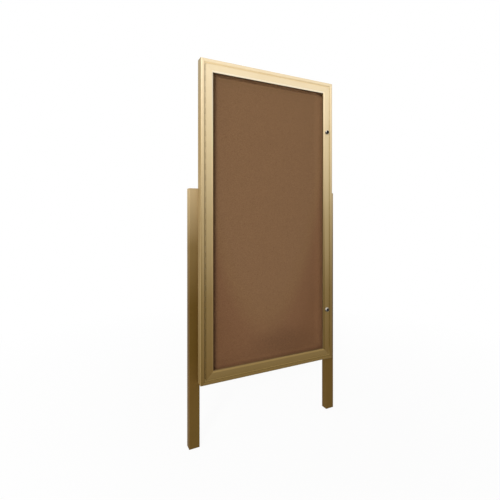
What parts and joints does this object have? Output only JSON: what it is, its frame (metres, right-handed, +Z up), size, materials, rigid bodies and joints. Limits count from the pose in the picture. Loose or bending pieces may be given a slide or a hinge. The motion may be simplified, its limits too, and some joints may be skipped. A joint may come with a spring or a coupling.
{
  "type": "lockable notice board on posts",
  "caption": "Tall lockable notice board: champagne aluminium case with a glazed swing door, tack board inside and square posts behind.",
  "frame": {"origin": "ground level, midway between the two posts, at the middle of their depth", "axes": "+X to the right seen from the front, -Y out of the window, +Z up"},
  "size_m": [0.846, 0.0924, 1.829],
  "materials": {
    "champagne_metal": "satin anodised, pale champagne at the top to dark bronze at the foot",
    "post_metal": "satin anodised dark bronze",
    "hinge_metal": "satin anodised",
    "panel_metal": "mill sheet",
    "bracket_metal": "mill extrusion",
    "lock_chrome": "bright plated",
    "plug_metal": "darkened face",
    "fastener_steel": "plain stainless",
    "cork": "fine-grained brown cork",
    "fibreboard": "raw fibreboard",
    "black_rubber": "matt black",
    "clear_pane": "clear safety glass"
  },
  "bodies": {
    "case": {"left_post": "post_metal", "right_post": "post_metal", "left_post_cap": "post_metal", "right_post_cap": "post_metal", "case_hinge_jamb": "champagne_metal", "case_top_rail": "champagne_metal", "case_lock_jamb": "champagne_metal", "case_bottom_rail": "champagne_metal", "case_corner_key_lower_left": "bracket_metal", "case_corner_key_upper_left": "bracket_metal", "case_corner_key_upper_right": "bracket_metal", "case_corner_key_lower_right": "bracket_metal", "door_seal_left": "black_rubber", "door_seal_top": "black_rubber", "door_seal_right": "black_rubber", "door_seal_bottom": "black_rubber", "cork_sheet": "cork", "backer_board": "fibreboard", "back_panel": "panel_metal", "hinge_case_leaf": "hinge_metal", "hinge_pin": "fastener_steel", "upper_left_bracket": "bracket_metal", "upper_left_post_bolt": "fastener_steel", "upper_left_case_bolt": "fastener_steel", "upper_right_bracket": "bracket_metal", "upper_right_post_bolt": "fastener_steel", "upper_right_case_bolt": "fastener_steel", "lower_left_bracket": "bracket_metal", "lower_left_post_bolt": "fastener_steel", "lower_left_case_bolt": "fastener_steel", "lower_right_bracket": "bracket_metal", "lower_right_post_bolt": "fastener_steel", "lower_right_case_bolt": "fastener_steel"},
    "door": {"door_hinge_stile": "champagne_metal", "door_top_rail": "champagne_metal", "door_lock_stile": "champagne_metal", "door_bottom_rail": "champagne_metal", "door_corner_key_lower_left": "bracket_metal", "door_corner_key_upper_left": "bracket_metal", "door_corner_key_upper_right": "bracket_metal", "door_corner_key_lower_right": "bracket_metal", "window_pane": "clear_pane", "glazing_gasket_left": "black_rubber", "glazing_gasket_top": "black_rubber", "glazing_gasket_right": "black_rubber", "glazing_gasket_bottom": "black_rubber", "hinge_door_leaf": "hinge_metal", "upper_lock_housing": "lock_chrome", "upper_lock_nut": "fastener_steel", "lower_lock_housing": "lock_chrome", "lower_lock_nut": "fastener_steel"},
    "upper_lock": {"upper_lock_plug": "plug_metal", "upper_lock_cam": "fastener_steel", "upper_cam_screw": "fastener_steel"},
    "lower_lock": {"lower_lock_plug": "plug_metal", "lower_lock_cam": "fastener_steel", "lower_cam_screw": "fastener_steel"}
  },
  "joints": [
    {"name": "door_swing", "type": "hinge", "parent": "case", "child": "door", "pos_m": [-0.3595, -0.06275, 1.067], "axis": [0, 0, -1], "range_deg": [0, 110]},
    {"name": "upper_lock_turn", "type": "hinge", "parent": "door", "child": "upper_lock", "pos_m": [0.3407, -0.05535, 1.555], "axis": [0, -1, 0], "range_deg": [0, 90]},
    {"name": "lower_lock_turn", "type": "hinge", "parent": "door", "child": "lower_lock", "pos_m": [0.3407, -0.05535, 0.579], "axis": [0, -1, 0], "range_deg": [0, 90]}
  ]
}
